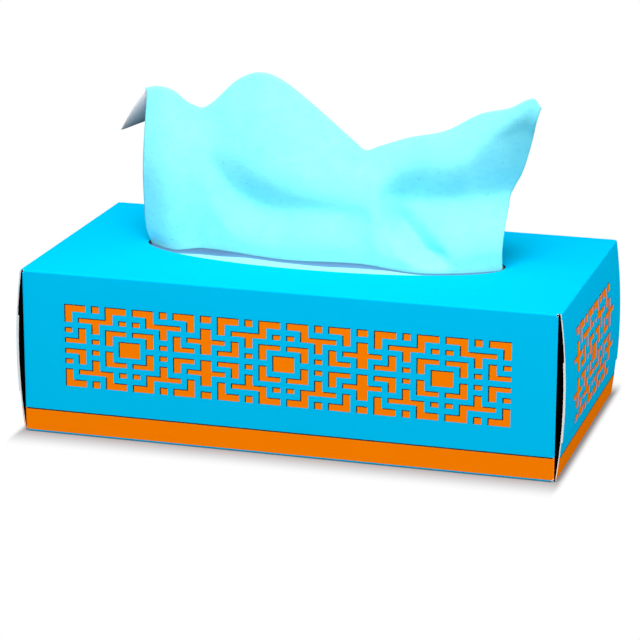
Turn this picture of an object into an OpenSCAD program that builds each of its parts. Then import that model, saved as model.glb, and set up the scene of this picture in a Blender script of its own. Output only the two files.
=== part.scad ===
// A flat carton of facial tissues with one tissue pulled up through its oval slot.
// Millimetres, +Z up. The origin is the middle of the bottom panel's outer face.
// X runs along the carton and Y from its front to its back.

/* [Carton] */
// Length of the carton over its top panel
box_l = 228; // [210:1:260]
// Depth of the carton from front to back
box_d = 119; // [110:1:140]
// Height of the carton
box_h = 70; // [64:1:110]
// Thickness of the board
board_t = 0.5; // [0.35:0.05:0.7]
// Outer radius of every fold in the board
fold_r = 0.8; // [0.75:0.05:1.5]
// Height of the glued seam tab inside the back panel
seam_h = 14; // [8:1:20]
// Gap between the table and the back panel's cut lower edge, above the fold's radius
seam_gap = 0.2; // [0.1:0.05:0.5]

/* [End flaps] */
// How far each end bows out at mid height
end_bow = 2.4; // [1:0.1:4]
// How far the front and back panels stop short of the ends of the top panel
dust_inset = 1.1; // [1.1:0.1:1.6]
// Length of each dust flap across the end
dust_flap_l = 46; // [30:1:50]
// Slope of the dust flap's upper and lower edges, in degrees
dust_taper = 4; // [0:1:8]
// Height of the bottom flap's upper edge
bottom_flap_z = 50; // [40:1:55]
// Height of the outer flap's lower edge
outer_flap_z = 16.8; // [14:0.2:22]
// How far the sides of the outer and bottom flaps stay inside the folds of the sleeve
flap_side_gap = 0.15; // [0.05:0.05:0.8]

/* [Slot and film] */
// Length of the oval slot
slot_l = 156; // [140:1:170]
// Width of the oval slot
slot_w = 51; // [46:1:60]
// Width of the film that is glued round the slot
film_margin = 9; // [6:1:12]
// Thickness of the film
film_t = 0.12; // [0.08:0.02:0.2]
// How far the lips of the slit are pushed up by the tissue
lip_lift = 1.4; // [0.4:0.1:2.2]
// Width of each lip that bends up
lip_w = 2.8; // [2:0.2:6]
// Least width of flat film between a lip and the edge of the slot
lip_clear = 2.5; // [1.5:0.5:5]
// How far the slit is cut past each end of the slot
slit_overcut = 2; // [1:0.5:5]

/* [Tissues] */
// Clear space above the stack of folded tissues
headroom = 9; // [8:0.5:20]
// Gap between the stack and the board around it
stack_gap = 5; // [3:0.5:12]
// Height of one group of folded edges in the stack
fold_group_h = 4.2; // [3:0.2:8]
// Thickness of the pulled tissue, two plies and the air between them
tissue_t = 0.3; // [0.2:0.05:0.4]
// Clearance between the tissue and each lip of the slit
slit_gap = 0.3; // [0.2:0.05:0.5]
// Height of the tissue's highest fold above the top panel
tissue_rise = 75.4; // [55:0.2:90]
// Clearance between the tissue's sides and the ends of the slot
side_gap = 0.9; // [0.6:0.1:2]
// How far the tissue's right edge leans out past the slot at its top
edge_flare = 15; // [4:0.5:20]
// Length of the tail that lies on the stack
tail_l = 48; // [25:1:50]
// Radius of the tissue's upper fold
ridge_r = 1.6; // [1.2:0.1:2.4]
// Length of the flap that hangs behind the upper fold
flap_l = 27; // [15:1:30]
// How far the flap's left corner flares out
corner_flare = 13; // [4:0.5:16]
// How far the flap's right corner is drawn in
corner_tuck = 9; // [4:0.5:12]

/* [Print] */
// Thickness of the printed ink
ink_t = 0.05; // [0.03:0.01:0.08]
// Width of a bar of the fret
bar_w = 3.35; // [3:0.05:3.6]
// Width of the gap between two bars of the fret
strap_w = 2.55; // [2.3:0.05:2.8]
// Distance between the middles of two medallions
fret_pitch = 66.2; // [64:0.1:70]
// Half the height of the fret on the front and back panels
fret_half_h = 17.7; // [16:0.1:18]
// Least width of bare panel on each side of the fret
fret_margin = 14; // [8:1:30]
// Height of the fret's centre line on the front and back panels
fret_z = 39.3; // [36:0.1:44]
// How much taller the fret is on the ends than on the front
end_stretch = 1.14; // [1:0.01:1.2]
// Bare board between the fret on an end and the outer flap's lower edge
end_fret_gap = 0.6; // [0.4:0.1:2]
// Width of the dark edge at the left of each printed shape
edge_w = 0.5; // [0.3:0.05:0.8]
// Height of the dark edge at the top of each printed shape
edge_h = 0.38; // [0.2:0.02:0.6]
// Top of the printed band round the foot
band_top = 10.5; // [8:0.1:13]
// Bottom of the printed band
band_foot = 1; // [0.9:0.1:2]

/* [Hidden] */
$fn = 48;

// The board overlaps by this much where it is glued, so that the joint has no sliver
glue = 0.08 * board_t;
// Facets in a quarter turn of a fold, along the bow of an end and round a fold in the stack
fold_steps = 4;
bow_steps = 24;
bulge_steps = 6;
// Length of panel that each flap is drawn with, so that the two are one board
root = 5 * fold_r;

// The outer flap leaves its fold at bow_a and follows an arc of radius bow_r
bow_h = box_h / 2 - fold_r;
bow_a = 2 * atan(end_bow / bow_h);
bow_r = bow_h / sin(bow_a) + fold_r;
bow_x = box_l / 2 + end_bow - bow_r;

// The bottom flap lies against the inside of the outer flap, on the same centre
inner_r = bow_r - board_t + glue;
inner_a = asin(bow_h / (inner_r - fold_r));
bottom_l = 2 * (bow_x + (inner_r - fold_r) * cos(inner_a) + fold_r);
flap_w = box_d - 2 * (fold_r + flap_side_gap);
sleeve_l = box_l - 2 * (dust_inset + fold_r);

// The fret on the front has as many medallions as fit. On an end it stands just above the
// outer flap's lower edge.
medallions = floor((box_l - 2 * fret_margin) / fret_pitch);

// The film, the stack and the tissue's tail
film_top = box_h - board_t;
stack_h = box_h - 2 * board_t - headroom;
stack_l = box_l - 2 * (dust_inset + board_t + stack_gap);
stack_d = box_d - 2 * (board_t + stack_gap);
stack_top = board_t + stack_h;
tail_z = stack_top + slit_gap + tissue_t / 2;
foot_half = slot_l / 2 - side_gap;

// Each fold in the stack bulges by this share of its height
fold_bulge = 0.3;

// The tail widens by this share at its end, and bends up over this share of its climb
tail_spread = 0.12;
bend_share = 0.55;
bend_r = (box_h - tail_z) * bend_share;

// The upper fold lies this far behind the middle of the slot and sways to and fro. Towards
// its right end it comes forward, and its radius falls to this share of ridge_r.
ridge_back = 0.03 * slot_w;
ridge_sway = 0.04 * slot_w;
tip_forward = 0.1 * slot_w;
tip_fold = 0.4;

// Angle at which the front face runs into the upper fold, along it and at its right end
ridge_lean = 32;
tip_lean = -10;

// The front face leans back evenly by one share and ever more by the other, and its belly
// stands forward
lean_even = 0.4;
lean_curved = 0.6;
belly = 0.03 * tissue_rise;

// Left of corner_u the flap's corner flares out in a bow, of which one share lies in the
// upper fold. Right of tuck_u the other corner is drawn in, and there the flap is shorter
// by tuck_short.
corner_u = 0.09;
corner_fold = 0.15;
corner_bow = 0.85;
tuck_u = 0.8;
tuck_short = 0.45;

// The flap's hem follows half of the upper fold's ups and downs about an even line, which
// lies at hem_side of tissue_rise and dips by hem_dip in the middle
hem_follow = 0.5;
hem_side = 0.87;
hem_dip = 0.17;

// The flap hangs down by these shares of its length: the least, where its hem is even near
// the free corner and right of near_u, at the corner itself and the most
fall_least = 0.3;
fall_near = 0.34;
fall_even = 0.7;
fall_corner = 0.65;
fall_most = 0.94;
near_u = 0.27;

// The tissue's front face as it leaves the slit, seen from above. Each pair is a share of
// the slot's half length and a share of its half width towards the front.
FOOT = [
    [-1, 0], [-0.83, 0.34], [-0.64, 0.31], [-0.45, 0.38], [-0.17, 0.53], [0.05, 0.55],
    [0.24, 0.49], [0.4, 0.53], [0.56, 0.6], [0.7, 0.52], [0.83, 0.36], [1, 0.04],
];
// The upper fold seen from the front: shares of its width and of tissue_rise
RIDGE = [
    [0, 0.878], [0.032, 0.89], [0.065, 0.87], [0.095, 0.815], [0.132, 0.78], [0.163, 0.81],
    [0.23, 0.95], [0.287, 1], [0.345, 0.965], [0.44, 0.815], [0.53, 0.656], [0.561, 0.608],
    [0.597, 0.637], [0.672, 0.698], [0.765, 0.752], [0.85, 0.858], [0.925, 0.908],
    [0.982, 0.97], [1, 0.92],
];
// The two upright edges: shares of the height, and the share of edge_flare by which each
// edge leans out of the slot
LEFT_EDGE = [[0, 0], [0.1, 0.12], [0.35, 0.13], [0.7, 0.1], [1, 0.07]];
RIGHT_EDGE = [
    [0, 0], [0.18, 0], [0.34, 0.01], [0.42, 0.02], [0.48, 0.14], [0.57, 0.36], [0.7, 0.58],
    [0.9, 0.86], [1, 1],
];

// Tucks of the front face. In each the face turns in below an upper line, runs on below a
// lower line, and is let out again. Each has its slopes at its left and right ends, the
// height over which it is let out, how soft its upper and lower turns are, and the two
// lines. Places in tucks and swells are percent of the slot's half length and tissue_rise.
TUCKS = [
    [
        [0.38, 0.8], 26, [5, 3],
        [[-69, 60], [-56, 57], [-46, 53], [-36, 48], [-23, 41], [-6, 36], [13, 34], [33, 30]],
        [
            [-69, 60], [-59, 48], [-51, 38], [-42, 32], [-33, 29], [-23, 28], [-6, 29], [13, 29],
            [33, 26],
        ],
    ],
    [
        [0.9, 0.55], 13, [6, 2],
        [
            [28, 42], [36, 50], [44, 56], [54, 59], [67, 58], [78, 59], [85, 67], [94, 76],
            [101, 85], [108, 90], [118, 93], [130, 95],
        ],
        [
            [28, 42], [36, 38], [44, 37], [54, 37], [67, 39], [78, 41], [87, 42], [97, 42],
            [108, 41], [130, 41],
        ],
    ],
    [
        [0.6, 0.5], 12, [8, 3],
        [[29, 40], [40, 39], [52, 36], [64, 30], [80, 19]],
        [[29, 40], [40, 31], [52, 23], [64, 12], [80, 1]],
    ],
];
// A tuck deepens from nothing over this width at each of its ends
tuck_end = 10;
// The front face is plain at the slit and has its whole relief from this height on, up to
// a share of its rise, from which it turns plain again towards the upper fold
plain_h = 10;
plain_w = 0.8;
// Swells of the front face: how far each stands forward, its middle, its half length and
// half width, and its turn
SWELLS = [
    [2.4, -86, 44, 44, 24, -15], [1.6, -33, 74, 18, 24, 10], [1.6, 0, 45, 33, 12, -6],
    [-1.6, -68, 77, 8, 16, 20], [1.2, 0, 13, 31, 9, 0], [-1.6, 26, 56, 8, 16, -12],
    [1.6, 98, 30, 28, 13, 0],
];

// Rows of the fret: the lower and upper edge of each above the fret's centre line, as
// shares of its half height
ROWS = [[0, 0.19], [0.07, 0.19], [0.32, 0.44], [0.57, 0.69], [0.83, 1]];
end_fret_half_h = fret_half_h * end_stretch;
end_fret_z = outer_flap_z + end_fret_half_h + end_fret_gap;

// Columns of the tissue's grid, and rows of each part of it
cols = 46;
tail_rows = 5;
bend_rows = 3;
rise_rows = 15;
ridge_rows = 5;
flap_rows = 6;

// Smooth step from 0 to 1 as x goes from a to b
function ease(a, b, x) = let (t = min(1, max(0, (x - a) / (b - a)))) t * t * (3 - 2 * t);
function mix(a, b, t) = a + (b - a) * t;
function unit(v) = v / norm(v);
function reversed(list) = [for (i = [len(list) - 1 : -1 : 0]) list[i]];

// Smooth curve through pairs of x and y that rise in x
function slope(k, i) =
    let (a = max(0, i - 1), b = min(len(k) - 1, i + 1)) (k[b][1] - k[a][1]) / (k[b][0] - k[a][0]);
function curve_part(k, i, t, w) =
    let (t2 = t * t, t3 = t2 * t)
    (2 * t3 - 3 * t2 + 1) * k[i][1] + (t3 - 2 * t2 + t) * w * slope(k, i)
    + (3 * t2 - 2 * t3) * k[i + 1][1] + (t3 - t2) * w * slope(k, i + 1);
function curve(k, x) =
    let (below = [for (i = [0 : len(k) - 2]) if (k[i][0] <= x) i], i = max(concat([0], below)))
    let (w = k[i + 1][0] - k[i][0]) curve_part(k, i, (x - k[i][0]) / w, w);

// Outline of folded board. The path follows the outer face, every corner turns a quarter
// to the same side, and the board's thickness lies on that side.
function fold_points(path, r, t) = [
    for (i = [1 : len(path) - 2], s = [0 : fold_steps])
    let (a = unit(path[i] - path[i - 1]), b = unit(path[i + 1] - path[i]), p = 90 * s / fold_steps)
    path[i] + r * (b - a) + (r - t) * (sin(p) * a - cos(p) * b)
];
function folded(path, r, t) =
    let (n = len(path) - 1, a = unit(path[n - 1] - path[n - 2]), b = unit(path[2] - path[1]))
    concat(
        [path[0]], fold_points(path, r, 0), [path[n], path[n] - t * a],
        reversed(fold_points(path, r, t)), [path[0] + t * b]
    );

// Points on the bow of an end, at radius r and between two angles from the horizontal
function bow_points(r, from, to) = [
    for (s = [0 : bow_steps]) let (a = mix(from, to, s / bow_steps))
    [bow_x + r * cos(a), box_h / 2 + r * sin(a)]
];
function fold_arc(centre, r, from, to) = [
    for (s = [0 : fold_steps]) let (a = mix(from, to, s / fold_steps))
    centre + r * [cos(a), sin(a)]
];
function bow_angle(r, z) = asin((z - box_h / 2) / r);

// Sections are drawn in x and z, and panels in y and z
module along_y(width) {
    translate([0, width / 2, 0]) rotate([90, 0, 0]) linear_extrude(width) children();
}
module along_x(length) {
    translate([-length / 2, 0, 0]) rotate([90, 0, 90]) linear_extrude(length) children();
}
module both_ends() {
    for (turn = [0, 180]) rotate([0, 0, turn]) children();
}

// The sleeve is the four long panels as one folded strip, with the seam tab inside the back
module sleeve() {
    back = box_d / 2;
    along_x(sleeve_l) polygon(folded(
        [[back, fold_r + seam_gap], [back, box_h], [-back, box_h], [-back, 0], [0, 0]], fold_r, board_t
    ));
    tab = back - board_t + glue;
    along_x(sleeve_l - 2 * fold_r) polygon(folded([[-root, 0], [tab, 0], [tab, seam_h]], fold_r, board_t));
}

// The top panel runs out to its end fold and turns down as the outer flap
module outer_flap() {
    centre = [box_l / 2 - fold_r, box_h - fold_r];
    stop = bow_angle(bow_r, outer_flap_z);
    start = [centre[0] - root, box_h];
    along_y(flap_w) polygon(concat(
        [start], fold_arc(centre, fold_r, 90, bow_a), bow_points(bow_r, bow_a, stop),
        bow_points(bow_r - board_t, stop, bow_a), fold_arc(centre, fold_r - board_t, bow_a, 90),
        [start - [0, board_t]]
    ));
}

// The bottom panel turns up as the bottom flap, glued to the inside of the outer flap
module bottom_flap() {
    centre = [bottom_l / 2 - fold_r, fold_r];
    stop = bow_angle(inner_r, bottom_flap_z);
    start = [centre[0] - root, 0];
    along_y(flap_w) polygon(concat(
        [start], fold_arc(centre, fold_r, -90, -inner_a), bow_points(inner_r, -inner_a, stop),
        bow_points(inner_r - board_t, stop, -inner_a),
        fold_arc(centre, fold_r - board_t, -inner_a, -90), [start + [0, board_t]]
    ));
}

// A dust flap is folded in from the front panel, with tapered edges
module dust_flap() {
    out = box_l / 2 - dust_inset;
    front = -box_d / 2;
    taper = dust_flap_l * tan(dust_taper);
    intersection() {
        translate([0, 0, board_t]) linear_extrude(box_h - 2 * board_t) polygon(folded(
            [[out - root, front], [out, front], [out, front + dust_flap_l]], fold_r, board_t
        ));
        translate([out, 0, 0]) along_x(4 * root) polygon([
            [front - root, fold_r], [front + dust_flap_l, fold_r + taper],
            [front + dust_flap_l, box_h - fold_r - taper], [front - root, box_h - fold_r],
        ]);
    }
}

// Oval outline
module oval(length, width) {
    polygon([for (a = [0 : 3.75 : 359]) [length / 2 * cos(a), width / 2 * sin(a)]]);
}

module carton() {
    color([0, 0.72, 0.92]) {
        difference() {
            union() {
                sleeve();
                translate([0, 0, box_h - board_t / 2])
                    cube([box_l - 2 * fold_r, flap_w, board_t], center = true);
                translate([0, 0, board_t / 2])
                    cube([bottom_l - 2 * fold_r, flap_w, board_t], center = true);
            }
            translate([0, 0, box_h - 2 * board_t]) linear_extrude(3 * board_t) oval(slot_l, slot_w);
        }
        both_ends() {
            outer_flap();
            bottom_flap();
            dust_flap();
            mirror([0, 1, 0]) dust_flap();
        }
    }
}

// A thin skin between two grids of points, which share their rows and columns
module skin(outer, inner) {
    rows = len(outer);
    n = len(outer[0]);
    k = rows * n;
    quads = concat(
        [for (i = [0 : rows - 2], j = [0 : n - 2])
            [i * n + j, i * n + j + 1, (i + 1) * n + j + 1, (i + 1) * n + j]],
        [for (i = [0 : rows - 2], j = [0 : n - 2])
            [k + i * n + j, k + (i + 1) * n + j, k + (i + 1) * n + j + 1, k + i * n + j + 1]],
        [for (i = [0 : rows - 2]) [i * n, (i + 1) * n, k + (i + 1) * n, k + i * n]],
        [for (i = [0 : rows - 2])
            [i * n + n - 1, k + i * n + n - 1, k + (i + 1) * n + n - 1, (i + 1) * n + n - 1]],
        [for (j = [0 : n - 2]) [j, k + j, k + j + 1, j + 1]],
        [for (j = [0 : n - 2])
            [k - n + j, k - n + j + 1, 2 * k - n + j + 1, 2 * k - n + j]]
    );
    triangles = [for (q = quads, h = [0, 1]) h == 0 ? [q[0], q[1], q[2]] : [q[0], q[2], q[3]]];
    polyhedron(concat([for (row = outer) each row], [for (row = inner) each row]), triangles);
}

// Where the slit runs, at x, and how far its lips are raised there. They rise where the
// slot is wide enough for them.
function slit_y(x) = -slot_w / 2 * curve(FOOT, max(-1, min(1, x / (slot_l / 2))));
function oval_y(x) = slot_w / 2 * sqrt(max(0, 1 - pow(2 * x / slot_l, 2)));
function lip_rise(x) =
    lip_lift * ease(lip_clear, lip_clear + lip_w, oval_y(x) - abs(slit_y(x)) - lip_w);

// One half of the film. side is -1 in front of the slit and 1 behind it. It is divided
// along its length just as the tissue is, so that the slit keeps its clearance.
module film_half(side) {
    half_l = slot_l / 2 + film_margin;
    half_w = slot_w / 2 + film_margin;
    slit_half = slot_l / 2 + slit_overcut;
    open = tissue_t / 2 + slit_gap;
    xs = concat(
        [-half_l, -slit_half], [for (j = [0 : cols]) mix(-foot_half, foot_half, j / cols)],
        [slit_half, half_l]
    );
    steps = [0, 0.5, 0.7, 0.82, 0.9, 1];
    function inside(x) = abs(x) < slot_l / 2 ? 1 : 0;
    function edge(x) = inside(x) * (slit_y(x) + side * open);
    function lift(x, y) = inside(x) * lip_rise(x) * ease(lip_w, 0, abs(y - edge(x)));
    function point(x, s, z) = let (y = mix(side * half_w, edge(x), s)) [x, y, z + lift(x, y)];
    top = [for (s = steps) [for (x = xs) point(x, s, film_top)]];
    foot = [for (s = steps) [for (x = xs) point(x, s, film_top - film_t)]];
    if (side < 0) skin(foot, top);
    else skin(top, foot);
}

module slot_film() {
    color([0.78, 0.95, 1, 0.6]) {
        film_half(-1);
        film_half(1);
    }
}

// The stack is drawn as groups of folded sheets, whose folds show as ridges along both sides
module tissue_stack() {
    groups = floor(stack_h / fold_group_h);
    pitch = stack_h / groups;
    bulge = pitch * fold_bulge;
    side = [
        for (g = [0 : groups - 1], s = [g == 0 ? 0 : 1 : bulge_steps]) let (f = s / bulge_steps)
        [stack_d / 2 - bulge + bulge * sin(180 * f), board_t + (g + f) * pitch]
    ];
    other = [for (p = reversed(side)) [-p[0], p[1]]];
    color([0.86, 1, 1]) along_x(stack_l) polygon(concat(side, other));
}

// How far the front face lies back at a place. A ramp is 0 before x = 0 and rises evenly
// after it, with a soft corner.
function sum(list) = list * [for (i = list) 1];
function ramp(x, soft) = (x + sqrt(x * x + soft * soft)) / 2;
function along_line(line, x) = curve(line, min(line[len(line) - 1][0], max(line[0][0], x)));
function tuck_depth(slopes, let_out, soft, upper, lower, x, h) =
    let (first = upper[0][0], last = upper[len(upper) - 1][0])
    let (ends = ease(first, first + tuck_end, x) * ease(last, last - tuck_end, x))
    let (above = along_line(upper, x) - h, below = along_line(lower, x) - h)
    mix(slopes[0], slopes[1], ease(first, last, x)) * ends * (1 - ease(0, let_out, below))
    * (ramp(above, soft[0]) - ramp(below, soft[1]));
function swell_depth(forward, mid_x, mid_h, half_l, half_w, turn, x, h) =
    let (along = (x - mid_x) * cos(turn) + (h - mid_h) * sin(turn))
    let (across = (h - mid_h) * cos(turn) - (x - mid_x) * sin(turn))
    -forward * exp(-pow(along / half_l, 2) - pow(across / half_w, 2));
function relief(x, h) =
    let (px = 100 * x / (slot_l / 2), ph = 100 * h / tissue_rise)
    let (tucks = [for (t = TUCKS) tuck_depth(t[0], t[1], t[2], t[3], t[4], px, ph)])
    let (swells = [for (s = SWELLS) swell_depth(s[0], s[1], s[2], s[3], s[4], s[5], px, ph)])
    ease(0, plain_h, ph) * (sum(tucks) + sum(swells)) * tissue_rise / 100;

// Places on the pulled tissue. u runs from its left edge to its right edge, and s or w
// along each part of it.
function tail_point(u, s) =
    let (x = mix(-foot_half, foot_half, u))
    [x * (1 + tail_spread * s), slit_y(x) + bend_r + s * tail_l, tail_z];
function bend_point(u, a) =
    let (x = mix(-foot_half, foot_half, u))
    [x, slit_y(x) + bend_r * (1 - cos(a)), tail_z + bend_r * (1 - sin(a))];

// The front face leans back from the slit to the upper fold, an arc whose radius and first
// angle change towards its right end
function tip(u) = ease(tuck_u, 1, u);
function fold_radius(u) = ridge_r * mix(1, tip_fold, tip(u));
function fold_start(u) = mix(ridge_lean, tip_lean, tip(u));
function ridge_y(u) = ridge_back + ridge_sway * sin(360 * u) - tip_forward * tip(u);
function ridge_z(u) = box_h + tissue_rise * curve(RIDGE, u) - fold_radius(u);
function rise_x(u, w) = mix(
    -foot_half - edge_flare * curve(LEFT_EDGE, w), foot_half + edge_flare * curve(RIGHT_EDGE, w), u
);
function ridge_point(u, a) =
    [
        rise_x(u, 1) - corner_flare * corner_fold * corner(u) * a / 180,
        ridge_y(u) - fold_radius(u) * cos(a), ridge_z(u) + fold_radius(u) * sin(a)
    ];
function rise_point(u, w) =
    let (top = ridge_point(u, fold_start(u)), x = rise_x(u, w), h = w * (top[2] - box_h))
    let (lean = lean_curved * w * w + lean_even * w, fade = 1 - ease(plain_w, 1, w))
    let (y = mix(slit_y(mix(-foot_half, foot_half, u)), top[1], lean))
    [x, y + relief(x, h) * fade - belly * sin(180 * w), box_h + h];

// The flap hangs behind the upper fold and evens out its ups and downs. Its left corner
// flares out past the front face, and its right corner is drawn in.
function corner(u) = 1 - ease(0, corner_u, u);
function flap_drop(u, l) =
    let (even_z = box_h + tissue_rise * (hem_side - hem_dip * sin(180 * u)))
    let (even = mix(fall_near, fall_even, ease(corner_u, near_u, u)))
    let (wanted = (ridge_z(u) - even_z) * hem_follow + even * l)
    mix(min(fall_most * l, max(fall_least * l, wanted)), fall_corner * l, corner(u));
function flap_point(u, s) =
    let (l = flap_l * (1 - tuck_short * tip(u)), drop = flap_drop(u, l), start = ridge_point(u, 180))
    let (flare = corner_flare * (1 - corner_fold) * corner(u) * pow(s, corner_bow))
    let (back = (1 - corner(u)) * sqrt(l * l - drop * drop))
    start + [-flare - corner_tuck * tip(u) * s, back * s, -drop * s];

function tissue_column(u) = concat(
    [for (i = [tail_rows : -1 : 1]) tail_point(u, i / tail_rows)],
    [for (i = [bend_rows : -1 : 1]) bend_point(u, 90 * i / bend_rows)],
    [for (i = [0 : rise_rows]) rise_point(u, i / rise_rows)],
    [for (i = [1 : ridge_rows]) ridge_point(u, mix(fold_start(u), 180, i / ridge_rows))],
    [for (i = [1 : flap_rows]) flap_point(u, i / flap_rows)]
);

module pulled_tissue() {
    grid = [for (j = [0 : cols]) tissue_column(j / cols)];
    n = len(grid[0]) - 1;
    function normal(j, i) =
        let (a = grid[min(cols, j + 1)][i] - grid[max(0, j - 1)][i])
        let (b = grid[j][min(n, i + 1)] - grid[j][max(0, i - 1)]) unit(cross(a, b));
    function side(d) = [for (j = [0 : cols]) [for (i = [0 : n]) grid[j][i] + d * normal(j, i)]];
    color([0.6, 1, 1]) skin(side(tissue_t / 2), side(-tissue_t / 2));
}

// The fret is drawn in rows and columns from the middle of a medallion. Columns are the
// distances col(0) to col(9), and rows are the pairs in ROWS.
function col(i) = strap_w / 2 + ceil(i / 2) * bar_w + floor(i / 2) * strap_w;

// A bar of the fret from one column to another, over the rows from a up to b
module bar(from, to, a, b, half_h) {
    foot = ROWS[a][0] * half_h;
    translate([from, foot]) square([to - from, ROWS[b][1] * half_h - foot]);
}

module four_ways() {
    for (a = [0, 1], b = [0, 1]) mirror([a, 0]) mirror([0, b]) children();
}

module medallion(half_h) {
    square([2 * col(1), 2 * ROWS[0][1] * half_h], center = true);
    four_ways() {
        bar(col(0), col(1), 3, 3, half_h);
        bar(col(0), col(3), 2, 2, half_h);
        bar(col(2), col(3), 1, 2, half_h);
        bar(col(0), col(3), 4, 4, half_h);
        bar(col(2), col(3), 3, 4, half_h);
        bar(col(2), col(7), 3, 3, half_h);
        bar(col(4), col(5), 2, 3, half_h);
        bar(col(4), col(5), 4, 4, half_h);
        bar(col(4), col(5), 1, 1, half_h);
        bar(col(6), col(9), 4, 4, half_h);
        bar(col(8), col(9), 3, 4, half_h);
        bar(col(6), col(7), 1, 2, half_h);
        bar(col(6), col(9), 1, 1, half_h);
        bar(col(8), col(9), 2, 2, half_h);
    }
}

module cross_motif(half_h) {
    half = fret_pitch / 2 - col(9) - strap_w;
    arm = fret_pitch / 2 - col(8);
    for (b = [0, 1]) mirror([0, b]) {
        bar(-half, half, 4, 4, half_h);
        bar(-half, half, 1, 3, half_h);
        bar(-arm, arm, 2, 2, half_h);
    }
}

module in_row(count) {
    for (i = [0 : count - 1]) translate([(i - (count - 1) / 2) * fret_pitch, 0]) children();
}

module fret(medallions, crosses, half_h) {
    in_row(medallions) medallion(half_h);
    in_row(crosses) cross_motif(half_h);
}

// Each shape has a dark edge at its left and top, and the ink fills the rest
module ink_part() {
    intersection() {
        children();
        translate([edge_w, -edge_h]) children();
    }
}
module edge_part() {
    difference() {
        children();
        translate([edge_w, -edge_h]) children();
    }
}

// The band and its dark upper line
module band(width) {
    translate([-width / 2, band_foot]) square([width, band_top - edge_w - band_foot]);
}
module band_line(width) {
    translate([-width / 2, band_top - edge_w]) square([width, edge_w]);
}

module on_front() {
    translate([0, -box_d / 2, 0]) rotate([90, 0, 0]) linear_extrude(ink_t) children();
}
module side_ink() {
    color([0.95, 0.47, 0]) on_front() {
        translate([0, fret_z]) ink_part() fret(medallions, medallions - 1, fret_half_h);
        band(sleeve_l);
    }
}
module side_edging() {
    color([0.06, 0.09, 0.1]) on_front() {
        translate([0, fret_z]) edge_part() fret(medallions, medallions - 1, fret_half_h);
        band_line(sleeve_l);
    }
}

// Ink on an end lies on the bow, as a skin of the flap whose outer face has radius r and
// runs between two angles
module on_bow(r, from, to) {
    intersection() {
        along_y(flap_w) polygon(concat(bow_points(r, from, to), bow_points(r + ink_t, to, from)));
        translate([box_l / 2, 0, 0]) along_x(4 * root) children();
    }
}
module on_outer_flap() {
    on_bow(bow_r, bow_a, bow_angle(bow_r, outer_flap_z)) children();
}
module on_bottom_flap() {
    on_bow(inner_r, -inner_a, bow_angle(inner_r, bottom_flap_z)) children();
}
module end_ink() {
    color([0.88, 0.4, 0]) {
        on_outer_flap() translate([0, end_fret_z]) ink_part() fret(1, 2, end_fret_half_h);
        on_bottom_flap() band(flap_w);
    }
}
module end_edging() {
    color([0.06, 0.09, 0.1]) {
        on_outer_flap() translate([0, end_fret_z]) edge_part() fret(1, 2, end_fret_half_h);
        on_bottom_flap() band_line(flap_w);
    }
}

module front_print() { side_ink(); }
module back_print() { rotate([0, 0, 180]) side_ink(); }
module right_end_print() { end_ink(); }
module left_end_print() { rotate([0, 0, 180]) end_ink(); }
module front_edging() { side_edging(); }
module back_edging() { rotate([0, 0, 180]) side_edging(); }
module right_end_edging() { end_edging(); }
module left_end_edging() { rotate([0, 0, 180]) end_edging(); }

carton();
slot_film();
tissue_stack();
pulled_tissue();
front_print();
back_print();
left_end_print();
right_end_print();
front_edging();
back_edging();
left_end_edging();
right_end_edging();
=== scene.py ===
"""Looks of a flat carton of facial tissues with one tissue pulled up through its slot.

Sizes are in millimetres until a mesh is made, and x, y and z are those of the carton.
"""
import math

import bpy
import mathutils
import numpy as np
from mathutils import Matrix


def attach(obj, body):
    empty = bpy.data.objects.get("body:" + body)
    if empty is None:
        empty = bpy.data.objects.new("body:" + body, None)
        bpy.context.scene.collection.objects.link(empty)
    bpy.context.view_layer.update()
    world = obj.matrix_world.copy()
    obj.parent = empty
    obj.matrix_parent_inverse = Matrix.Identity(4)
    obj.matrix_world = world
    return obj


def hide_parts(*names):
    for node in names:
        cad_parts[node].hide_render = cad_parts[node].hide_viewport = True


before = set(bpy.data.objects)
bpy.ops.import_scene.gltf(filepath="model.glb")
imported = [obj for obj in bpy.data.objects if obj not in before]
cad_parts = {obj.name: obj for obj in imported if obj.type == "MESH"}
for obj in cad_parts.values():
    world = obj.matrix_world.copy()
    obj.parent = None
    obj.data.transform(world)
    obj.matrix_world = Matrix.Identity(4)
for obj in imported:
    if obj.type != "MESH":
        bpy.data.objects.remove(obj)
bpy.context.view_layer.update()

MM = 0.001

# The carton, its slot and the tissue's place in it
BOX_L = 228.0
BOX_D = 119.0
BOX_H = 70.0
BOARD_T = 0.5
FOLD_R = 0.8
DUST_X = BOX_L / 2 - 1.1
END_BOW = 2.4
FLAP_W = BOX_D - 2 * (FOLD_R + 0.15)
OUTER_FLAP_Z = 16.8
BAND_TOP = 10.5
BAND_FOOT = 1.0
SLOT_L = 156.0
SLOT_W = 51.0
FILM_MARGIN = 9.0
FILM_T = 0.12
HEADROOM = 9.0
STACK_GAP = 5.0
STACK_H = BOX_H - 2 * BOARD_T - HEADROOM
STACK_TOP = BOARD_T + STACK_H
STACK_L = 2 * (DUST_X - BOARD_T - STACK_GAP)
STACK_D = BOX_D - 2 * (BOARD_T + STACK_GAP)
TISSUE_T = 0.3
SLIT_GAP = 0.3
FOOT_HALF = SLOT_L / 2 - 0.9
TAIL_L = 48.0
TAIL_WIDEN = 0.12
TAIL_Z = STACK_TOP + SLIT_GAP + TISSUE_T / 2
BEND_R = (BOX_H - TAIL_Z) * 0.55
EDGE_FLARE = 15.0
CORNER_FLARE = 13.0
TISSUE_RISE = 75.4
BELLY = 0.03 * TISSUE_RISE
RELIEF_FADE = 0.8
FILM_TOP = BOX_H - BOARD_T
LIP_LIFT = 1.4
LIP_W = 2.8
LIP_CLEAR = 2.5

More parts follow.
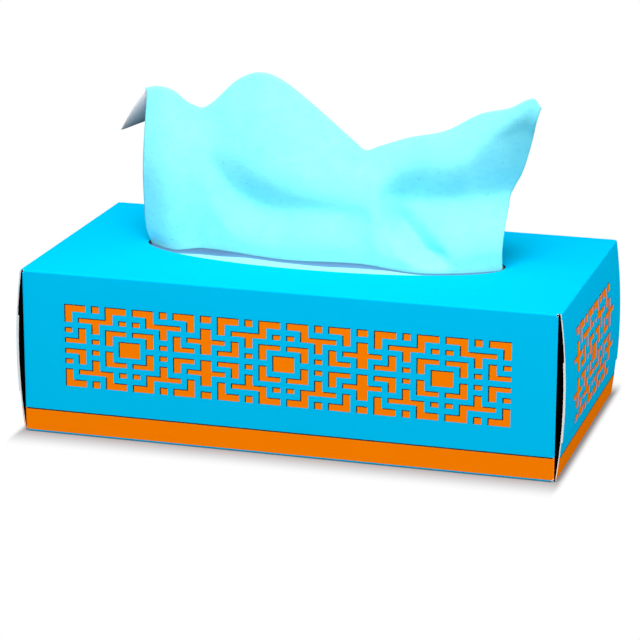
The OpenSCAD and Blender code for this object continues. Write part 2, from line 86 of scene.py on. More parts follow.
# The upper fold: its left corner ends and its right tip starts at these shares of its width.
# The angles are where the front face meets the fold, in degrees
RIDGE_R = 1.6
CORNER_END = 0.09
TIP_START = 0.8
TIP_SHARP = 0.4
MEET_ANGLE = 32
TIP_MEET_ANGLE = -10
RIDGE_BACK = 1.5
RIDGE_SWAY = 2.0
TIP_FORWARD = 5.0
# The flap behind it: the height of its hem is in shares of the tissue's rise, and how far it
# drops is in shares of its length
FLAP_L = 27.0
TIP_SHORTER = 0.45
HEM_H = 0.87
HEM_SAG = 0.17
HEM_FOLLOW = 0.5
LEFT_DROP = 0.34
FULL_DROP = 0.7
LEAST_DROP = 0.3
MOST_DROP = 0.94
CORNER_DROP = 0.65
FLARE_ON_FOLD = 0.15
FLARE_BEND = 0.85
TIP_DRAWN_IN = 9.0

# Columns of the sheet and the film, and the rows of the sheet's parts
COLUMNS = 200
TAIL_ROWS = 8
BEND_ROWS = 7
FACE_ROWS = 120
RIDGE_ROWS = 13
FLAP_ROWS = 33
# The folds along both sides of the stack
FOLDS = 40
FOLD_STEPS = 6
STACK_COLUMNS = 48
FOLD_BULGE = 0.6
FOLD_SWAY = 0.3
SWAY_L = 23.0

# The camera, in metres and radians, and its focal length in pixels of the picture
CAMERA_AT = (0.3230, -1.1169, 0.3884)
AZIMUTH = 0.2830
ELEVATION = 0.2903
ROLL = 0.0025
FOCAL_PX = 2860
PICTURE_PX = 640
SENSOR_W = 36
# How strongly the white surround lights the carton
SURROUND_LIGHT = 0.34

# The tissue's front face as it leaves the slit, from above: shares of half the slot's
# length and of half its width towards the front
FOOT = np.array([
    (-1, 0), (-0.83, 0.34), (-0.64, 0.31), (-0.45, 0.38), (-0.17, 0.53), (0.05, 0.55),
    (0.24, 0.49), (0.4, 0.53), (0.56, 0.6), (0.7, 0.52), (0.83, 0.36), (1, 0.04),
])
# How far each lip of the film is pushed up along the slit: shares of LIP_LIFT
LIP_HEIGHT = np.array([
    (-1, 0.9), (-0.6, 1), (-0.45, 0.75), (-0.3, 0.5), (-0.12, 0.55), (0.1, 1), (0.28, 0.8),
    (0.42, 0.3), (0.58, 0.3), (0.75, 0.9), (1, 0.4),
])
# The upper fold from the front: shares of its width and of the tissue's rise
RIDGE = np.array([
    (0, 0.878), (0.032, 0.89), (0.065, 0.87), (0.095, 0.815), (0.132, 0.78), (0.163, 0.81),
    (0.23, 0.95), (0.287, 1), (0.345, 0.965), (0.44, 0.815), (0.53, 0.656), (0.561, 0.608),
    (0.597, 0.637), (0.672, 0.698), (0.765, 0.752), (0.85, 0.858), (0.925, 0.908),
    (0.982, 0.97), (1, 0.92),
])
# The upright edges: shares of the height, and the share of EDGE_FLARE that each leans out
LEFT_EDGE = np.array([(0, 0), (0.1, 0.12), (0.35, 0.13), (0.7, 0.1), (1, 0.07)])
RIGHT_EDGE = np.array([
    (0, 0), (0.18, 0), (0.34, 0.01), (0.42, 0.02), (0.48, 0.14), (0.57, 0.36), (0.7, 0.58),
    (0.9, 0.86), (1, 1),
])

# Tucks of the front face. In each the face turns in below an upper line, runs on below a
# lower line, and is let out again. Each has its slopes at its left and right ends, the
# height over which it is let out, how soft its upper and lower turns are, and the lines.
# Places in tucks and swells are percent of half the slot's length and of the rise.
TUCKS = [
    (
        (0.34, 0.66), 26, (5, 3),
        [(-69, 60), (-56, 57), (-46, 53), (-36, 48), (-23, 41), (-6, 36), (13, 34), (33, 30)],
        [
            (-69, 60), (-59, 48), (-51, 38), (-42, 32), (-33, 29), (-23, 28), (-6, 29), (13, 29),
            (33, 26),
        ],
    ),
    (
        (0.86, 0.42), 34, (6, 4),
        [
            (28, 42), (36, 47), (44, 53), (54, 57), (67, 58), (78, 60), (85, 67), (94, 76),
            (101, 85), (108, 90), (118, 93), (130, 95),
        ],
        [
            (28, 42), (36, 38), (44, 37), (54, 37), (67, 39), (78, 41), (87, 42), (97, 42),
            (108, 41), (130, 41),
        ],
    ),
    (
        (1.15, 0.9), 16, (5, 3),
        [(34, 35), (43, 32), (52, 27), (62, 20), (78, 5)],
        [(34, 35), (43, 25), (52, 17), (62, 7), (78, -8)],
    ),
]
TUCK_END = 10
PLAIN_H = 10
# Swells of the front face: how far each stands forward, its middle, its half length and
# half width, and its turn in degrees
SWELLS = [
    (2.4, -86, 44, 44, 24, -15), (1.6, -33, 74, 18, 24, 10), (1.6, 0, 45, 33, 12, -6),
    (-1.6, -68, 77, 8, 16, 20), (1.2, 0, 13, 31, 9, 0), (-1.6, 26, 56, 8, 16, -12),
    (1.6, 98, 30, 28, 13, 0),
]


def ease(a, b, x):
    """Smooth step: 0 up to a, 1 from b on, and 3t^2 - 2t^3 between. It falls where b < a."""
    t = np.clip((x - a) / (b - a), 0, 1)
    return t * t * (3 - 2 * t)


def mix(a, b, t):
    """Straight blend, a + (b - a) t."""
    return a + (b - a) * t


def curve(keys, x):
    """Cubic Hermite curve through the keys. Its slope at a key is that between the neighbours."""
    n = len(keys)
    before = np.maximum(np.arange(n) - 1, 0)
    after = np.minimum(np.arange(n) + 1, n - 1)
    slope = (keys[after, 1] - keys[before, 1]) / (keys[after, 0] - keys[before, 0])
    i = np.clip(np.searchsorted(keys[:, 0], x, side="right") - 1, 0, n - 2)
    w = keys[i + 1, 0] - keys[i, 0]
    t = (x - keys[i, 0]) / w
    return (
        (2 * t**3 - 3 * t**2 + 1) * keys[i, 1] + (t**3 - 2 * t**2 + t) * w * slope[i]
        + (3 * t**2 - 2 * t**3) * keys[i + 1, 1] + (t**3 - t**2) * w * slope[i + 1]
    )


def ramp(x, soft):
    """0 below x = 0 and x above it, with the corner rounded: (x + sqrt(x^2 + soft^2)) / 2."""
    return (x + np.sqrt(x * x + soft * soft)) / 2


def along_line(line, x):
    """Height of a tuck's line at x, level beyond its ends."""
    line = np.array(line)
    return curve(line, np.clip(x, line[0, 0], line[-1, 0]))


def tuck_depth(tuck, x, h):
    """slope * (ramp(upper - h) - ramp(lower - h)), faded at its ends and below its lower line."""
    slopes, let_out, soft, upper, lower = tuck
    first = upper[0][0]
    last = upper[-1][0]
    ends = ease(first, first + TUCK_END, x) * ease(last, last - TUCK_END, x)
    above = along_line(upper, x) - h
    below = along_line(lower, x) - h
    slope = mix(slopes[0], slopes[1], ease(first, last, x)) * ends * (1 - ease(0, let_out, below))
    return slope * (ramp(above, soft[0]) - ramp(below, soft[1]))


def swell_depth(swell, x, h):
    """-forward * exp(-(along / half length)^2 - (across / half width)^2)."""
    forward, mid_x, mid_h, half_l, half_w, turn = swell
    c = math.cos(math.radians(turn))
    s = math.sin(math.radians(turn))
    along = (x - mid_x) * c + (h - mid_h) * s
    across = (h - mid_h) * c - (x - mid_x) * s
    return -forward * np.exp(-((along / half_l) ** 2) - (across / half_w) ** 2)


def relief(x_mm, h_mm):
    """How far the front face lies back: the sum of tucks and swells, which fades at the slit."""
    x = 100 * x_mm / (SLOT_L / 2)
    h = 100 * h_mm / TISSUE_RISE
    depth = sum(tuck_depth(tuck, x, h) for tuck in TUCKS)
    depth += sum(swell_depth(swell, x, h) for swell in SWELLS)
    return ease(0, PLAIN_H, h) * depth * TISSUE_RISE / 100


def slit_y(x):
    """Where the slit runs, at x along the slot."""
    return -SLOT_W / 2 * curve(FOOT, np.clip(x / (SLOT_L / 2), -1, 1))


def tip(u):
    """1 at the right end of the upper fold, fading to 0 at TIP_START."""
    return ease(TIP_START, 1, u)


def corner(u):
    """1 at the left end of the upper fold, fading to 0 at CORNER_END."""
    return 1 - ease(0, CORNER_END, u)


def fold_radius(u):
    """Radius of the upper fold, which sharpens towards its right end."""
    return RIDGE_R * mix(1, TIP_SHARP, tip(u))


def fold_start(u):
    """Angle at which the front face runs into the upper fold's arc."""
    return np.radians(mix(MEET_ANGLE, TIP_MEET_ANGLE, tip(u)))


def ridge_y(u):
    """The upper fold sways to and fro by a whole sine, and comes forward at its right end."""
    return RIDGE_BACK + RIDGE_SWAY * np.sin(2 * np.pi * u) - TIP_FORWARD * tip(u)


def ridge_z(u):
    """Height of the middle of the upper fold's arc."""
    return BOX_H + TISSUE_RISE * curve(RIDGE, u) - fold_radius(u)


def rise_x(u, w):
    """x on the front face: a blend from the left edge to the right edge."""
    left = -FOOT_HALF - EDGE_FLARE * curve(LEFT_EDGE, w)
    right = FOOT_HALF + EDGE_FLARE * curve(RIGHT_EDGE, w)
    return mix(left, right, u)


def tail_part(u, s):
    """The tail lies flat on the stack, and widens by 1 + TAIL_WIDEN s towards its end."""
    x = mix(-FOOT_HALF, FOOT_HALF, u)
    y = slit_y(x) + BEND_R + s * TAIL_L
    return x * (1 + TAIL_WIDEN * s), y, np.full(u.shape, TAIL_Z)


def bend_part(u, s):
    """A quarter circle of radius BEND_R from the tail up to the slit."""
    x = mix(-FOOT_HALF, FOOT_HALF, u)
    a = np.pi / 2 * s
    return x, slit_y(x) + BEND_R * (1 - np.cos(a)), TAIL_Z + BEND_R * (1 - np.sin(a))


def fold_point(u, a):
    """A place on the upper fold, an arc of fold_radius about its middle at angle a."""
    x = rise_x(u, np.ones(u.shape)) - CORNER_FLARE * FLARE_ON_FOLD * corner(u) * a / np.pi
    return x, ridge_y(u) - fold_radius(u) * np.cos(a), ridge_z(u) + fold_radius(u) * np.sin(a)


def rise_part(u, w):
    """The front face leans back by 0.4 w + 0.6 w^2 from the slit to the upper fold, with the
    relief laid over it up to RELIEF_FADE and a half sine that bellies forward by BELLY."""
    top_y, top_z = fold_point(u, fold_start(u))[1:]
    x = rise_x(u, w)
    h = w * (top_z - BOX_H)
    y = mix(slit_y(mix(-FOOT_HALF, FOOT_HALF, u)), top_y, 0.4 * w + 0.6 * w * w)
    y += relief(x, h) * (1 - ease(RELIEF_FADE, 1, w)) - BELLY * np.sin(np.pi * w)
    return x, y, BOX_H + h


def ridge_part(u, s):
    """The upper fold's arc, from the angle at which the face meets it to the back."""
    return fold_point(u, mix(fold_start(u), np.pi, s))


def flap_part(u, s):
    """The flap hangs straight down and back from the fold, by drop and back at its hem, where
    back^2 = length^2 - drop^2. Its left corner flares out and its right one is drawn in."""
    x, y, z = fold_point(u, np.full(u.shape, np.pi))
    length = FLAP_L * (1 - TIP_SHORTER * tip(u))
    even_z = BOX_H + TISSUE_RISE * (HEM_H - HEM_SAG * np.sin(np.pi * u))
    hang = mix(LEFT_DROP, FULL_DROP, ease(CORNER_END, 3 * CORNER_END, u)) * length
    wanted = (ridge_z(u) - even_z) * HEM_FOLLOW + hang
    held = np.clip(wanted, LEAST_DROP * length, MOST_DROP * length)
    drop = mix(held, CORNER_DROP * length, corner(u))
    back = (1 - corner(u)) * np.sqrt(length**2 - drop**2)
    flare = CORNER_FLARE * (1 - FLARE_ON_FOLD) * corner(u) * s**FLARE_BEND
    return x - flare - TIP_DRAWN_IN * tip(u) * s, y + back * s, z - drop * s


def surface(part, u, s):
    """Evaluates one part of a sheet on the grid of its rows s and columns u."""
    uu, ss = np.meshgrid(u, s)
    return np.stack(part(uu, ss), axis=-1)


def grid_normals(points):
    """Unit normals of a grid of points, from the differences of neighbouring points."""
    across = np.gradient(points, axis=1)
    along = np.gradient(points, axis=0)
    normal = np.cross(across, along)
    return normal / np.maximum(np.linalg.norm(normal, axis=-1, keepdims=True), 1e-9)


def shell_faces(rows, cols):
    """Quads of two grids joined round their rims: the first grid, the second, then the rims."""
    index = np.arange(rows * cols).reshape(rows, cols)
    back = index + rows * cols
    front_quads = np.stack([index[:-1, :-1], index[:-1, 1:], index[1:, 1:], index[1:, :-1]], -1)
    back_quads = np.stack([back[:-1, :-1], back[1:, :-1], back[1:, 1:], back[:-1, 1:]], -1)
    rim = np.concatenate([index[0, :-1], index[:-1, -1], index[-1, :0:-1], index[:0:-1, 0]])
    rim_back = rim + rows * cols
    ring = np.stack([np.roll(rim, -1), rim, rim_back, np.roll(rim_back, -1)], -1)
    return np.concatenate([front_quads.reshape(-1, 4), back_quads.reshape(-1, 4), ring])


def signed_volume(points, quads):
    """Volume inside quads whose corners turn anticlockwise seen from outside."""
    a, b, c, d = (points[quads[:, k]] for k in range(4))
    six_times = np.einsum("ij,ij->i", a, np.cross(b, c) + np.cross(c, d))
    return six_times.sum() / 6


def make_piece(name, points, quads, material, values=None):
    """Makes a closed, smooth mesh from points in millimetres, with its faces outwards."""
    if signed_volume(points, quads) < 0:
        quads = quads[:, ::-1]
    mesh = bpy.data.meshes.new(name)
    mesh.from_pydata((points * MM).tolist(), [], quads.tolist())
    mesh.polygons.foreach_set("use_smooth", np.ones(len(quads), dtype=bool))
    for key, data in (values or {}).items():
        attribute = mesh.attributes.new(key, "FLOAT", "POINT")
        attribute.data.foreach_set("value", data.astype(np.float32).ravel())
    mesh.update()
    mesh.materials.append(material)
    piece = bpy.data.objects.new(name, mesh)
    bpy.context.scene.collection.objects.link(piece)
    return piece


def skin(name, front, back, material, values=None):
    """A thin closed sheet between two grids of points."""
    rows, cols = front.shape[:2]
    points = np.concatenate([front.reshape(-1, 3), back.reshape(-1, 3)])
    return make_piece(name, points, shell_faces(rows, cols), material, values)


class Value:
    """A shader socket that Python's operators work on, each adding a Math node."""

    def __init__(self, graph, socket):
        self.graph = graph
        self.socket = socket

    def math(self, operation, *others):
        """One Math node on this value and the others."""
        node = self.graph.node("ShaderNodeMath", {"operation": operation})
        for slot, item in zip(node.inputs, (self,) + others):
            self.graph.plug(slot, item)
        return Value(self.graph, node.outputs[0])

    def __add__(self, other):
        return self.math("ADD", other)

    def __radd__(self, other):
        return self.math("ADD", other)

    def __sub__(self, other):
        return self.math("SUBTRACT", other)

    def __rsub__(self, other):
        return (self * -1).math("ADD", other)

    def __mul__(self, other):
        return self.math("MULTIPLY", other)

    def __rmul__(self, other):
        return self.math("MULTIPLY", other)

    def __gt__(self, other):
        return self.math("GREATER_THAN", other)

    def __lt__(self, other):
        return self.math("LESS_THAN", other)

    def __abs__(self):
        return self.math("ABSOLUTE")

    def sqrt(self):
        return self.math("SQRT")

    def most(self, other):
        return self.math("MAXIMUM", other)

    def step(self, low, high):
        """Smooth step from 0 at low to 1 at high."""
        node = self.graph.node("ShaderNodeMapRange", {"interpolation_type": "SMOOTHSTEP"}, {
            "Value": self, "From Min": low, "From Max": high,
        })
        return Value(self.graph, node.outputs["Result"])


class Graph:
    """The nodes of one material, with a single Principled shader."""

    def __init__(self, name, **settings):
        self.material = bpy.data.materials.new(name)
        self.material.use_nodes = True
        self.tree = self.material.node_tree
        self.shader = self.tree.nodes["Principled BSDF"]
        for key, value in settings.items():
            socket = key.replace("_", " ").title().replace("Ior", "IOR")
            self.shader.inputs[socket].default_value = value

    def plug(self, slot, item):
        """Joins a value, socket or plain number to an input."""
        if isinstance(item, Value):
            self.tree.links.new(item.socket, slot)
        elif isinstance(item, bpy.types.NodeSocket):
            self.tree.links.new(item, slot)
        else:
            slot.default_value = item

    def node(self, kind, settings=None, sockets=None):
        """Any node, with its settings made first and then its sockets filled."""
        made = self.tree.nodes.new(kind)
        for key, value in (settings or {}).items():
            setattr(made, key, value)
        for key, item in (sockets or {}).items():
            self.plug(made.inputs[key], item)
        return made

    def place(self):
        """Object coordinates in millimetres, as three values."""
        spot = self.node("ShaderNodeTexCoord").outputs["Object"]
        parts = self.node("ShaderNodeSeparateXYZ", None, {0: spot})
        return [Value(self, parts.outputs[k]) * (1 / MM) for k in range(3)]

    def attribute(self, name):
        """The value that the mesh carries at its points under this name."""
        made = self.node("ShaderNodeAttribute", {"attribute_name": name})
        return Value(self, made.outputs["Fac"])

    def noise(self, size_mm, detail=3.0, stretch=(1, 1, 1), rough=0.5):
        """Noise whose grains are about size_mm across, drawn out by stretch. Its middle is 0.5."""
        spot = self.node("ShaderNodeTexCoord").outputs["Object"]
        scaled = self.node("ShaderNodeVectorMath", {"operation": "MULTIPLY"}, {
            0: spot, 1: tuple(1 / (MM * size_mm * s) for s in stretch),
        })
        made = self.node("ShaderNodeTexNoise", None, {
            "Vector": scaled.outputs[0], "Scale": 1.0, "Detail": detail, "Roughness": rough,
        })
        return Value(self, made.outputs["Fac"])

    def blend(self, amount, first, second):
        """Colour that goes from first to second as amount goes from 0 to 1."""
        made = self.node("ShaderNodeMix", {"data_type": "RGBA"})
        self.plug(made.inputs[0], amount)
        self.plug(made.inputs[6], first)
        self.plug(made.inputs[7], second)
        return made.outputs[2]

    def bump(self, height, strength, distance_mm):
        """Grain of the surface: height from 0 to 1 stands for distance_mm."""
        made = self.node("ShaderNodeBump", None, {
            "Height": height, "Strength": strength, "Distance": distance_mm * MM,
        })
        self.plug(self.shader.inputs["Normal"], made.outputs["Normal"])

    def colour(self, socket):
        self.plug(self.shader.inputs["Base Color"], socket)

    def roughness(self, value):
        self.plug(self.shader.inputs["Roughness"], value)


def rgb(r, g, b):
    """Colour written as it looks, from 0 to 255, turned into linear values."""
    def linear(c):
        c = c / 255
        return c / 12.92 if c <= 0.04045 else ((c + 0.055) / 1.055) ** 2.4
    return (linear(r), linear(g), linear(b), 1.0)


CYAN = (0.0, 0.535, 0.9, 1.0)
CYAN_DEEP = (0.0, 0.5, 0.87, 1.0)
ORANGE = rgb(255, 131, 0)
RAW_BOARD = (0.86, 0.86, 0.84, 1.0)
SHADE = (0.004, 0.006, 0.008, 1.0)


def printed_board():
    """Satin board, cyan where it is printed, orange in the foot band, white on cut edges and
    inside, and dark on the faces that lie in deep shade. Each end flap is part of a cylinder
    of radius bow_r about bow_x and half the carton's height."""
    g = Graph("printed_board", roughness=0.5, specular_ior_level=0.0)
    x, y, z = g.place()
    bow_h = BOX_H / 2 - FOLD_R
    bow_a = 2 * math.atan(END_BOW / bow_h)
    bow_r = bow_h / math.sin(bow_a) + FOLD_R
    bow_x = BOX_L / 2 + END_BOW - bow_r
    skin_depth = 0.1
    dust_in = DUST_X - 0.2
    dust_out = DUST_X + 0.3
    end_fold_z = BOX_H - 2.5
    slot_end_l = 5
    slot_end_w = 9
    scuff_z = 0.4

    # The outer faces of the sleeve, of the end folds and of the two flaps on each end
    side = (abs(y) - (BOX_D / 2 - FOLD_R)).most(0.0)
    level = (abs(z - BOX_H / 2) - bow_h).most(0.0)
    end = (abs(x) - (BOX_L / 2 - FOLD_R)).most(0.0)
    turn = (abs(x) - (DUST_X - FOLD_R)).most(0.0)
    on_fold = (side * side + level * level).sqrt() > FOLD_R - skin_depth
    on_end_fold = (end * end + level * level).sqrt() > FOLD_R - skin_depth
    on_end_fold = on_end_fold * (z > end_fold_z)
    on_dust_fold = (side * side + turn * turn).sqrt() > FOLD_R - skin_depth
    on_dust_fold = on_dust_fold * (abs(x) < dust_in)
    from_bow_x = abs(x) - bow_x
    from_mid_z = z - BOX_H / 2
    from_bow = (from_bow_x * from_bow_x + from_mid_z * from_mid_z).sqrt()
    on_outer = from_bow > bow_r - skin_depth
    on_bottom = (from_bow > bow_r - BOARD_T - skin_depth) * (z < OUTER_FLAP_Z - 0.02)
    on_print = on_fold.most(on_outer).most(on_bottom * (abs(x) > dust_out))
    on_print = on_print.most(on_end_fold).most(on_dust_fold)
    on_band = (z < BAND_TOP) * (z > BAND_FOOT)

    # Faces in deep shade: the gap at each end, the dust flaps and the slot's ends
    in_end_gap = (abs(x) > dust_out) * (1 - on_print) * (abs(y) < FLAP_W / 2 - 0.05)
    on_dust = (abs(x) > dust_in) * (abs(x) < dust_out) * (1 - on_fold)
    on_slot_end = (abs(x) > SLOT_L / 2 - slot_end_l) * (abs(x) < SLOT_L / 2 + 0.2)
    on_slot_end = on_slot_end * (abs(y) < slot_end_w) * (1 - on_fold)
    in_shade = in_end_gap.most(on_dust).most(on_slot_end)

    # Corners that stand on the table are scuffed through to the white board
    corner_x = abs(x) - DUST_X
    corner_y = abs(y) - BOX_D / 2
    corner_z = z - scuff_z
    from_corner = (corner_x * corner_x + corner_y * corner_y + corner_z * corner_z).sqrt()
    scuffed = (from_corner + 1.6 * g.noise(0.7, 3.0)).step(2.3, 1.5)

    cyan = g.blend(g.noise(70, 2.0), CYAN, CYAN_DEEP)
    inked = g.blend(on_band, cyan, ORANGE)
    inked = g.blend(scuffed, inked, RAW_BOARD)
    raw = g.blend(g.noise(0.5, 4.0, (3, 3, 1)), RAW_BOARD, (0.72, 0.71, 0.68, 1.0))
    g.colour(g.blend(in_shade, g.blend(on_print, raw, inked), SHADE))
    g.roughness(0.42 + 0.12 * g.noise(6, 2.0) + 0.3 * (1 - on_print))
    g.bump(g.noise(0.35, 3.0) + 0.6 * g.noise(2.2, 2.0), 0.12, 0.05)
    return g.material


def printing_ink(name, light, dark, rough):
    """Flat ink: a slight mottle over the sheet, with the board's grain showing through."""
    g = Graph(name, roughness=rough, specular_ior_level=0.0)
    g.colour(g.blend(g.noise(40, 3.0), light, dark))
    g.roughness(rough - 0.05 + 0.1 * g.noise(3, 2.0))
    g.bump(g.noise(0.35, 3.0), 0.1, 0.04)
    return g.material


def tissue_paper():
    """Soft two-ply paper, pale cyan on its outer ply and grey-white inside, with a fine
    mottle of fibre and a few darker specks. The inner ply is painted darker towards the hem
    of the flap's left corner, as painted shade."""
    g = Graph("tissue_paper", roughness=0.92, specular_ior_level=0.04)
    cloud = g.noise(9, 4.0)
    mottle = g.noise(1.7, 5.0, (2, 2, 1), 0.66)
    fibre = g.noise(0.45, 5.0, (1, 1, 3.5), 0.6)
    speck = g.noise(1.8, 2.0, (1.4, 1.4, 1)).step(0.69, 0.75)
    outer = g.blend(cloud, (0.3, 0.94, 1.0, 1.0), (0.22, 0.86, 1.0, 1.0))
    outer = g.blend(0.5 * mottle.step(0.42, 0.7), outer, (0.21, 0.8, 0.95, 1.0))
    outer = g.blend(0.3 * fibre.step(0.55, 0.8), outer, (0.4, 1.0, 1.0, 1.0))
    outer = g.blend(0.7 * speck, outer, (0.14, 0.74, 0.86, 1.0))
    # Painted shade: the inner ply darkens towards the hem of the flap's left corner
    under = g.blend(g.attribute("painted_tip_shade"), (0.86, 0.87, 0.89, 1.0), (0.2, 0.23, 0.25, 1.0))
    g.colour(g.blend(g.attribute("inner_ply"), outer, under))
    g.roughness(0.88 + 0.1 * fibre)
    g.bump(fibre + 1.5 * g.noise(1.6, 3.0) + 3.0 * g.noise(6, 2.0) + 0.4 * mottle, 0.3, 0.14)
    return g.material


def folded_paper():
    """The stack's folded edges: thin layers of pale cyan paper with shade between them."""
    g = Graph("folded_paper", roughness=0.92, specular_ior_level=0.04)
    layer = g.noise(0.6, 3.0, (80, 80, 1), 0.6)
    g.colour(g.blend(layer.step(0.35, 0.65), (0.34, 0.97, 1.0, 1.0), (0.18, 0.72, 0.82, 1.0)))
    g.roughness(0.86 + 0.12 * g.noise(3, 2.0))
    g.bump(layer + 0.5 * g.noise(0.7, 3.0), 0.5, 0.2)
    return g.material


def slot_film_plastic():
    """Thin milky film, bright where it lies flat. Where the lip turns up it is painted
    grey-blue as shade, darker towards the slit, and the slot's ends are painted in deep shade."""
    g = Graph("slot_film_plastic", roughness=0.3, specular_ior_level=0.08)
    flat = g.blend(g.noise(12, 2.0), (0.4, 0.9, 0.98, 1.0), (0.34, 0.85, 0.96, 1.0))
    # Painted shade on the lip: grey-blue, darker towards the slit
    raised = g.blend(g.attribute("height"), (0.12, 0.28, 0.48, 1.0), (0.08, 0.17, 0.29, 1.0))
    with_lip_shade = g.blend(g.attribute("lip"), flat, raised)
    # Painted deep shade at the slot's ends
    x = g.place()[0]
    painted_end_shade = abs(x).step(SLOT_L / 2 - 3, SLOT_L / 2 - 1.4)
    g.colour(g.blend(painted_end_shade, with_lip_shade, SHADE))
    g.roughness(0.26 + 0.1 * g.noise(5, 2.0))
    g.bump(g.noise(7, 3.0, (3, 1, 1)), 0.15, 0.2)
    return g.material


def white_floor():
    """Pale floor round the carton, which turns into plain white away from it where it is
    seen. The white comes sooner beside the ends than before and behind."""
    g = Graph("white_floor", roughness=0.9, specular_ior_level=0.0)
    rays = g.node("ShaderNodeLightPath")
    seen = Value(g, rays.outputs["Is Camera Ray"]).most(rays.outputs["Is Glossy Ray"])
    seen = seen.most(rays.outputs["Is Transmission Ray"])
    g.colour(g.blend(seen, (0.18, 0.18, 0.18, 1.0), (0.31, 0.3, 0.3, 1.0)))
    x, y = g.place()[:2]
    sooner = 6.0
    beside = sooner * (abs(x) - BOX_L / 2).most(0.0)
    before = (abs(y) - BOX_D / 2).most(0.0)
    away = (beside * beside + before * before).sqrt().step(-6, 20)
    glow = g.node("ShaderNodeEmission", None, {"Color": (1, 1, 1, 1), "Strength": 1.0})
    mixed = g.node("ShaderNodeMixShader")
    g.plug(mixed.inputs[0], away * seen)
    g.plug(mixed.inputs[1], g.shader.outputs[0])
    g.plug(mixed.inputs[2], glow.outputs[0])
    g.plug(g.tree.nodes["Material Output"].inputs["Surface"], mixed.outputs[0])
    return g.material


def make_tissue(material):
    """One sheet: tail, bend, front face, upper fold and back flap joined row by row, with half
    its thickness laid on along the normals to either side. The points carry which ply they
    are on, and how much painted shade darkens the inner ply down the flap's left corner."""
    u = np.linspace(0, 1, COLUMNS)
    middle = np.concatenate([
        surface(tail_part, u, np.linspace(1, 0, TAIL_ROWS + 1)[:-1]),
        surface(bend_part, u, np.linspace(1, 0, BEND_ROWS + 1)[:-1]),
        surface(rise_part, u, np.linspace(0, 1, FACE_ROWS)),
        surface(ridge_part, u, np.linspace(0, 1, RIDGE_ROWS + 1)[1:]),
        surface(flap_part, u, np.linspace(0, 1, FLAP_ROWS + 1)[1:]),
    ])
    normal = grid_normals(middle)
    front = middle + normal * TISSUE_T / 2
    back = middle - normal * TISSUE_T / 2
    face_row = TAIL_ROWS + BEND_ROWS + FACE_ROWS // 2
    towards_front = normal[face_row, COLUMNS // 2, 1] < 0
    inner = np.repeat((0, 1) if towards_front else (1, 0), len(middle) * COLUMNS)
    # Painted shade on the inner ply, growing down the flap towards its hem at the left corner
    row = np.arange(len(middle)) - (len(middle) - 1 - FLAP_ROWS)
    down = np.clip(row, 0, FLAP_ROWS) / FLAP_ROWS
    painted_tip_shade = np.outer(down**1.6, 1 - ease(0.06, 0.14, u)).ravel()
    values = {"inner_ply": inner, "painted_tip_shade": np.tile(painted_tip_shade, 2)}
    return skin("tissue_sheet", front, back, material, values)


def make_stack(material):
    """The folded sheets: along both sides each fold stands out as a half sine of its height,
    set in by a little of its own, and the top and the ends are flat."""
    level = np.linspace(0, FOLDS, FOLDS * FOLD_STEPS + 1)
    fold = np.minimum(level.astype(int), FOLDS - 1)
    z = BOARD_T + STACK_H * level / FOLDS
    x = np.linspace(-STACK_L / 2, STACK_L / 2, STACK_COLUMNS)
    rings = []
    for side, seed in ((-1, 3), (1, 8)):
        set_in = np.random.default_rng(seed).uniform(0.1, 0.9, FOLDS)[fold]
        wave = np.sin(x[:, None] / SWAY_L + 2.1 * side + set_in[None, :] * 9)
        sway = FOLD_SWAY + FOLD_SWAY * wave
        bulge = FOLD_BULGE * (1 - np.abs(np.sin(np.pi * level)))
        depth = STACK_D / 2 - bulge - set_in * sway
        row = np.stack(np.broadcast_arrays(x[:, None], side * depth, z), -1)
        rings.append(row if side < 0 else row[:, ::-1])
    points = np.concatenate(rings, axis=1)
    count = points.shape[1]
    index = np.arange(points.shape[0] * count).reshape(points.shape[:2])
    ahead = np.roll(index, -1, axis=1)
    sides = np.stack([index[:-1], ahead[:-1], ahead[1:], index[1:]], -1).reshape(-1, 4)
    up = np.arange(count // 2 - 1)
    cap = np.stack([up, count - 1 - up, count - 2 - up, up + 1], -1)
    far_cap = (cap + index[-1, 0])[:, ::-1]
    quads = np.concatenate([sides, cap, far_cap])
    return make_piece("folded_tissues", points.reshape(-1, 3), quads, material)


